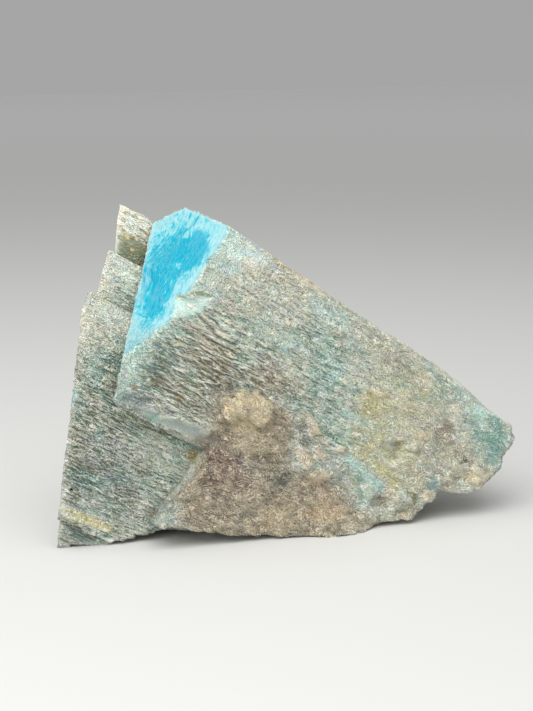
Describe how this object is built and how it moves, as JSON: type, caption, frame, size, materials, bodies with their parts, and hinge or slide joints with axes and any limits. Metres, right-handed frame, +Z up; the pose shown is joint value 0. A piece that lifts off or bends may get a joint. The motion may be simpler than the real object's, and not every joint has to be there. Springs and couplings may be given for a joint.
{
  "type": "rough amazonite crystal specimen",
  "caption": "Hand-size cluster of blocky amazonite crystals grown parallel in steps, with a smooth turquoise end face and brown matrix on the lower front.",
  "frame": {"origin": "middle of the footprint, on the surface that the specimen rests on", "axes": "+X to the right along the specimen's length, +Y away from the front face, +Z up"},
  "size_m": [0.1086, 0.049, 0.0744],
  "materials": {
    "stone": "matte grey-green striated stone, one silky turquoise crystal face, brown and cream matrix"
  },
  "bodies": {
    "root": {"amazonite_cluster": "stone"}
  },
  "joints": []
}
